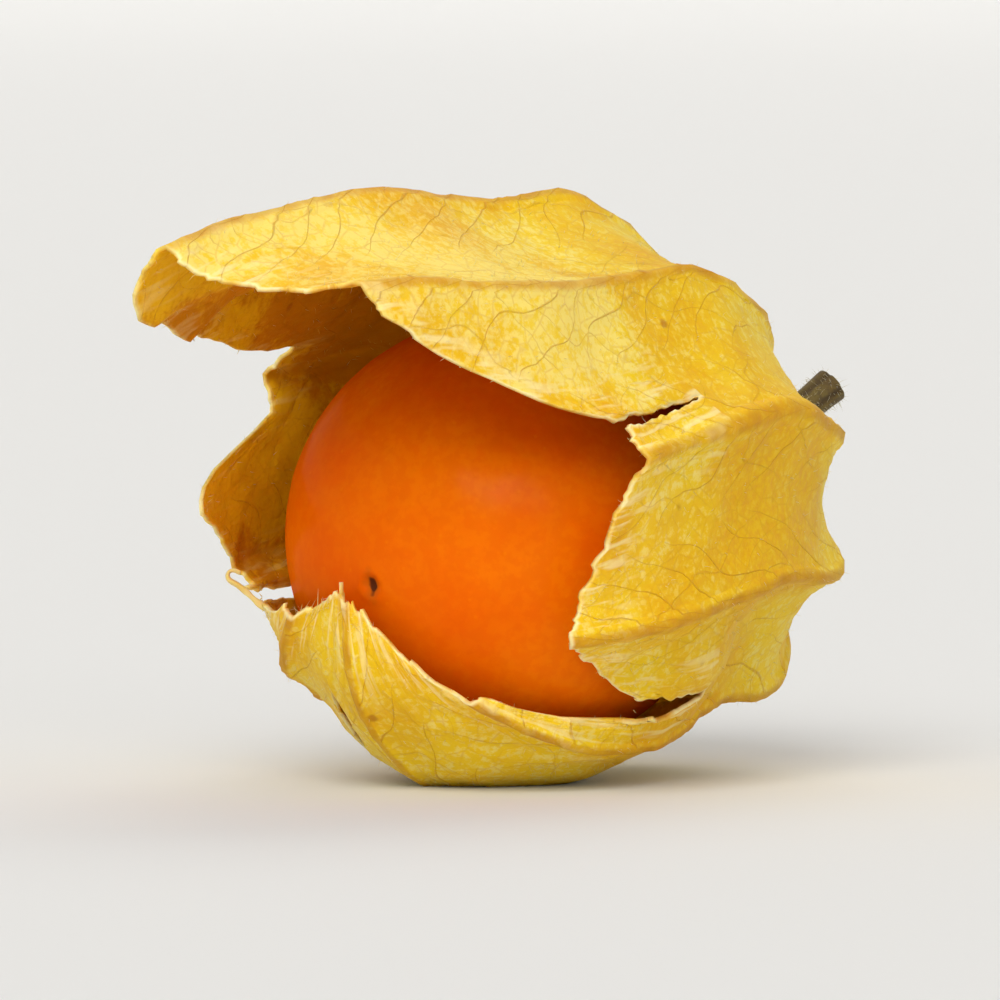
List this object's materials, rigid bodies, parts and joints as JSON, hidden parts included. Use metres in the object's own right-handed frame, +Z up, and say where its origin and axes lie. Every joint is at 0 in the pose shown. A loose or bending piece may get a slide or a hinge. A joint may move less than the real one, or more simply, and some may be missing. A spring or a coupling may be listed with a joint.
{
  "type": "physalis berry in its husk",
  "caption": "Round orange berry inside a dry papery husk that is torn open at its mouth, with its stalk, lying on its side as picked.",
  "frame": {"origin": "on the surface the fruit lies on, at the husk's flat spot, straight below the middle of the berry", "axes": "+Z up; the husk's mouth looks towards -Y and -X, and its stalk end towards +Y and +X"},
  "size_m": [0.0331, 0.0386, 0.0281],
  "materials": {
    "dry_husk": "dry, papery, ribbed and netted with veins",
    "berry_skin": "smooth waxy skin with a soft gloss",
    "stem_skin": "dull, grooved and finely hairy"
  },
  "bodies": {
    "root": {"husk": "dry_husk", "berry": "berry_skin", "stem": "stem_skin"}
  },
  "joints": []
}
